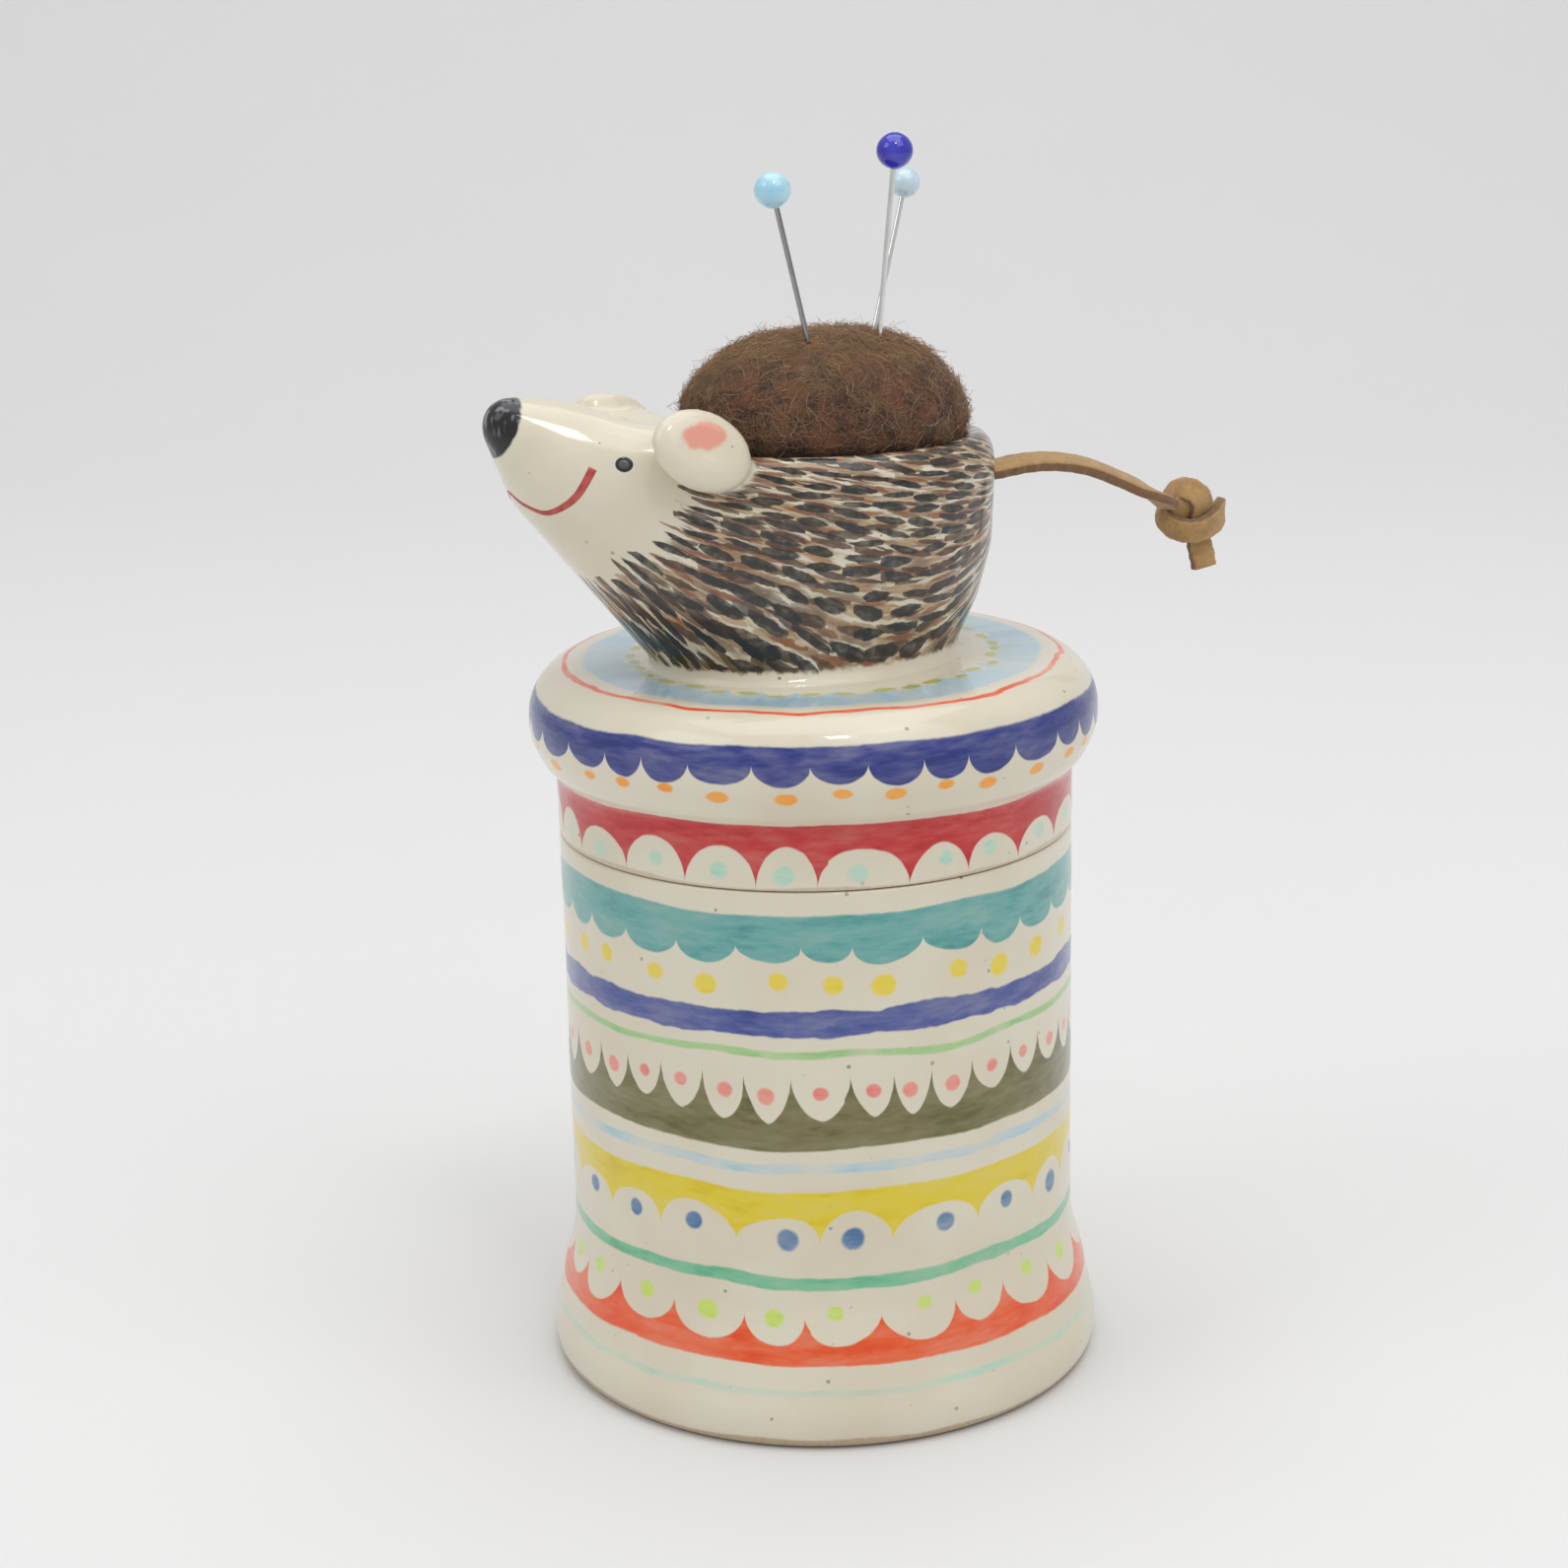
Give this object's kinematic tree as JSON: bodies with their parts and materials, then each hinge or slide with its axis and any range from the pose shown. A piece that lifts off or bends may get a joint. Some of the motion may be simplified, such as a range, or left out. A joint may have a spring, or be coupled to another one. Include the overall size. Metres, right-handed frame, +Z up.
{
  "type": "pin cushion",
  "caption": "Hedgehog-shaped pin cushion on the lift-off lid of a small round stoneware jar for sewing notions, with glass-headed pins.",
  "frame": {"origin": "on the jar's axis, at the flat underside of its foot", "axes": "+Z up along the jar's axis, -X roughly towards the hedgehog's nose, which is turned 24 degrees from it towards -Y"},
  "size_m": [0.0833, 0.0646, 0.1413],
  "materials": {
    "glazed_stoneware_jar": "semi-gloss cream glaze with painted bands",
    "glazed_stoneware_lid": "semi-gloss cream glaze with painted bands",
    "bare_stoneware": "unglazed",
    "glazed_stoneware_hedgehog": "semi-gloss glaze with brushed quills",
    "glazed_stoneware_ear": "semi-gloss glaze",
    "felted_wool": "felted brown wool",
    "wool_stuffing": "carded wool",
    "thread": "twisted thread",
    "clear_glue": "dried craft glue",
    "suede": "tan suede lace",
    "light_blue_glass": "glossy opaque glass",
    "dark_blue_glass": "glossy opaque glass",
    "pale_glass": "glossy opaque glass",
    "pin_steel": "bright nickel-plated steel"
  },
  "bodies": {
    "jar": {"jar": "glazed_stoneware_jar"},
    "locating_ring": {"lid_locating_ring": "bare_stoneware"},
    "lid": {"lid": "glazed_stoneware_lid", "hedgehog_body": "glazed_stoneware_hedgehog", "left_ear": "glazed_stoneware_ear", "right_ear": "glazed_stoneware_ear", "cushion_cover": "felted_wool", "cushion_stuffing": "wool_stuffing", "gathering_thread": "thread", "cushion_adhesive": "clear_glue", "tail_lace": "suede", "tail_end_knot": "suede", "tail_stopper_knot": "suede"},
    "light_blue_pin": {"pin_head_light_blue": "light_blue_glass", "pin_shaft_light_blue": "pin_steel"},
    "dark_blue_pin": {"pin_head_dark_blue": "dark_blue_glass", "pin_shaft_dark_blue": "pin_steel"},
    "pale_pin": {"pin_head_pale": "pale_glass", "pin_shaft_pale": "pin_steel"}
  },
  "joints": [
    {"name": "lid_lift", "type": "slide", "parent": "jar", "child": "locating_ring", "axis": [0, 0, 1], "range_m": [0, 0.03]},
    {"name": "lid_turn", "type": "hinge", "parent": "locating_ring", "child": "lid", "pos_m": [0, 0, 0.064], "axis": [0, 0, 1], "continuous": true},
    {"name": "light_blue_pin_push", "type": "slide", "parent": "lid", "child": "light_blue_pin", "axis": [-0.2081, -0.0606, 0.9762], "range_m": [-0.011, 0.015]},
    {"name": "dark_blue_pin_push", "type": "slide", "parent": "lid", "child": "dark_blue_pin", "axis": [0.098, 0.0001, 0.9952], "range_m": [-0.011, 0.012]},
    {"name": "pale_pin_push", "type": "slide", "parent": "lid", "child": "pale_pin", "axis": [0.2253, 0.2935, 0.929], "range_m": [-0.011, 0.014]}
  ]
}
